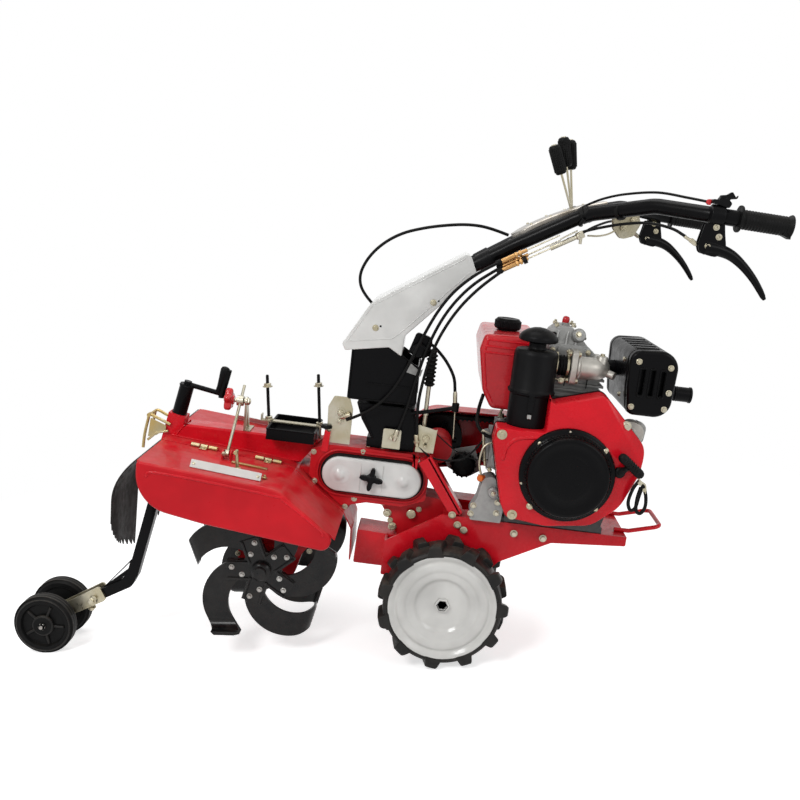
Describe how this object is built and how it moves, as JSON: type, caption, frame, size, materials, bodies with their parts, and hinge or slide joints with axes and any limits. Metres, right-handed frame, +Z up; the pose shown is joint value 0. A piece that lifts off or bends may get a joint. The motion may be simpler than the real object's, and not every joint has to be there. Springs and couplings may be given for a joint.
{
  "type": "walking power tiller",
  "caption": "Walk-behind power tiller: hooded tine rotor, chain cases, two lugged drive wheels, side diesel engine, swinging handlebar and twin depth wheels.",
  "frame": {"origin": "ground point at the centre of the machine's outline", "axes": "+X from the depth wheels to the handlebar grips, +Y to the far side, +Z up"},
  "size_m": [1.7736, 0.604, 1.1793],
  "materials": {
    "black_paint": "glossy black paint",
    "black_plastic": "matte black",
    "cast_alloy": "bare casting",
    "red_casting": "red painted casting",
    "red_paint": "glossy red paint",
    "red_plastic": "glossy red",
    "rubber": "matte rubber",
    "tyre": "tyre rubber",
    "white_paint": "glossy white paint",
    "zinc": "zinc plated"
  },
  "bodies": {
    "chassis": {"transmission_case": "red_casting", "rotor_chain_case": "red_casting", "wheel_chain_case": "red_casting", "gear_cover": "white_paint", "cover_knob": "black_plastic", "main_beam": "red_paint", "engine_frame": "red_paint", "bumper_loop": "red_paint", "hood_centre": "red_paint", "depth_crank": "black_paint", "battery_tray": "black_paint", "tray_clamp": "zinc", "cable_bracket": "zinc", "column_lower": "black_paint", "crankcase": "cast_alloy", "cylinder_head": "cast_alloy", "fan_shroud": "red_paint", "recoil_cover": "black_plastic", "pull_handle": "black_plastic", "fuel_tank": "red_plastic", "tank_cap": "black_plastic", "air_filter": "black_plastic", "intake_elbow": "cast_alloy", "muffler_guard": "black_paint", "muffler": "black_paint", "injection_pump": "cast_alloy", "belt_guard": "red_paint", "transmission_pulley": "black_paint", "engine_pulley": "black_paint", "drive_belts": "rubber", "gear_lever": "black_paint", "adjuster_bracket": "zinc", "control_cables": "rubber"},
    "wheel_near": {"drive_tyre_near": "tyre", "drive_rim_near": "white_paint"},
    "wheel_far": {"drive_tyre_far": "tyre", "drive_rim_far": "white_paint"},
    "rotor": {"rotor_shaft": "black_paint", "rotor_tines_near": "black_paint", "rotor_tines_far": "black_paint"},
    "depth_leg": {"depth_leg": "black_paint", "depth_fork": "zinc"},
    "depth_wheels": {"depth_wheels": "rubber"},
    "handlebar": {"column_head": "black_paint", "handle_shroud": "white_paint", "handle_tubes": "black_paint", "hand_grips": "rubber", "hand_levers": "black_paint", "throttle_lever": "black_plastic", "shift_plate": "zinc", "shift_levers": "black_plastic", "cable_loop": "rubber"},
    "wing_near": {"hood_wing_near": "red_paint", "rubber_flap_near": "rubber"},
    "wing_far": {"hood_wing_far": "red_paint", "rubber_flap_far": "rubber"},
    "rod_clamp": {"star_knob": "red_plastic"},
    "adjuster_rod": {"adjuster_rod": "zinc"}
  },
  "joints": [
    {"name": "wheel_near_spin", "type": "hinge", "parent": "chassis", "child": "wheel_near", "pos_m": [0.17125, -0.15, 0.15], "axis": [0, 1, 0], "continuous": true},
    {"name": "wheel_far_spin", "type": "hinge", "parent": "chassis", "child": "wheel_far", "pos_m": [0.17125, 0.15, 0.15], "axis": [0, 1, 0], "continuous": true},
    {"name": "rotor_spin", "type": "hinge", "parent": "chassis", "child": "rotor", "pos_m": [-0.25346, 0, 0.21727], "axis": [0, 1, 0], "continuous": true},
    {"name": "depth_leg_slide", "type": "slide", "parent": "chassis", "child": "depth_leg", "axis": [0.3502, 0, 0.9367], "range_m": [-0.06, 0.04]},
    {"name": "depth_wheel_spin", "type": "hinge", "parent": "depth_leg", "child": "depth_wheels", "pos_m": [-0.81276, 0, 0.074], "axis": [0, 1, 0], "continuous": true},
    {"name": "handle_swing", "type": "hinge", "parent": "chassis", "child": "handlebar", "pos_m": [0.05579, 0, 0.60365], "axis": [0.1564, 0, 0.9877], "range_deg": [-30, 30], "deforming": ["control_cables"]},
    {"name": "wing_near_lift", "type": "hinge", "parent": "chassis", "child": "wing_near", "pos_m": [-0.29802, -0.0805, 0.49846], "axis": [-0.971, 0, 0.2392], "range_deg": [0, 25]},
    {"name": "wing_far_lift", "type": "hinge", "parent": "chassis", "child": "wing_far", "pos_m": [-0.29802, 0.0805, 0.49846], "axis": [0.971, 0, -0.2392], "range_deg": [0, 25]},
    {"name": "rod_clamp_swing", "type": "hinge", "parent": "chassis", "child": "rod_clamp", "pos_m": [-0.28919, -0.024, 0.61171], "axis": [0.9877, 0, -0.1564], "range_deg": [-4, 0]},
    {"name": "adjuster_rod_slide", "type": "slide", "parent": "rod_clamp", "child": "adjuster_rod", "axis": [0.1085, 0.7207, 0.6848], "range_m": [0, 0.0205]}
  ],
  "couplings": [
    {"joint": "rod_clamp_swing", "follows": "wing_near_lift", "ratio": -0.155},
    {"joint": "adjuster_rod_slide", "follows": "wing_near_lift", "m_per_rad": 0.0452}
  ]
}
